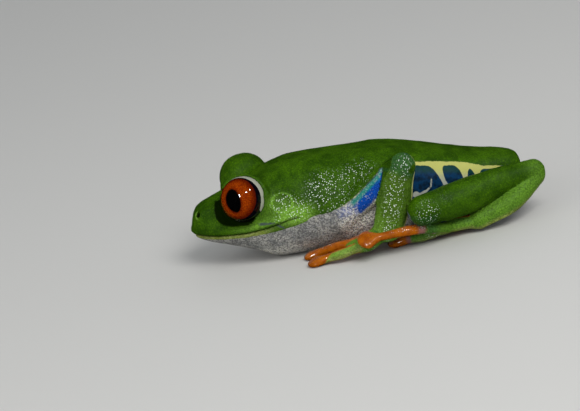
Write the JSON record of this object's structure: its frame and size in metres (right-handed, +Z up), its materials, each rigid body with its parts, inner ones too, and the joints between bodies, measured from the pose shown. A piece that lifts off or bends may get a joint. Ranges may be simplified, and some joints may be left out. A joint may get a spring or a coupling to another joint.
{
  "type": "red-eyed tree frog",
  "caption": "Life-size tree frog crouched at rest with folded limbs: green back, blue flanks barred with pale yellow, orange toes with round pads, large red eyes with upright pupils.",
  "frame": {"origin": "on the floor under the middle of the frog's outline", "axes": "+X from the snout to the vent, +Y to the frog's right, +Z up"},
  "size_m": [0.0656, 0.0372, 0.018],
  "materials": {
    "green_skin": "moist granular leaf-green skin",
    "throat_skin": "pale grey-white granular skin",
    "blue_skin": "smooth deep blue flank skin",
    "orange_skin": "glossy orange skin of the digits",
    "red_eye": "wet, glass-clear eye over a red iris"
  },
  "bodies": {
    "root": {"head": "green_skin", "lower_jaw": "throat_skin", "chest": "green_skin", "belly": "blue_skin", "rump": "green_skin", "eye_left": "red_eye", "eye_right": "red_eye", "eardrum_left": "green_skin", "eardrum_right": "green_skin", "upper_arm_left": "blue_skin", "upper_arm_right": "blue_skin", "forearm_left": "green_skin", "forearm_right": "green_skin", "hand_left": "orange_skin", "hand_right": "orange_skin", "finger_1_left": "orange_skin", "finger_1_right": "orange_skin", "finger_2_left": "orange_skin", "finger_2_right": "orange_skin", "finger_3_left": "orange_skin", "finger_3_right": "orange_skin", "finger_4_left": "orange_skin", "finger_4_right": "orange_skin", "thigh_left": "blue_skin", "thigh_right": "blue_skin", "shank_left": "green_skin", "shank_right": "green_skin", "tarsus_left": "green_skin", "tarsus_right": "green_skin", "foot_left": "orange_skin", "foot_right": "orange_skin", "toe_1_left": "orange_skin", "toe_1_right": "orange_skin", "toe_2_left": "orange_skin", "toe_2_right": "orange_skin", "toe_3_left": "orange_skin", "toe_3_right": "orange_skin", "toe_4_left": "orange_skin", "toe_4_right": "orange_skin", "toe_5_left": "orange_skin", "toe_5_right": "orange_skin"}
  },
  "joints": []
}
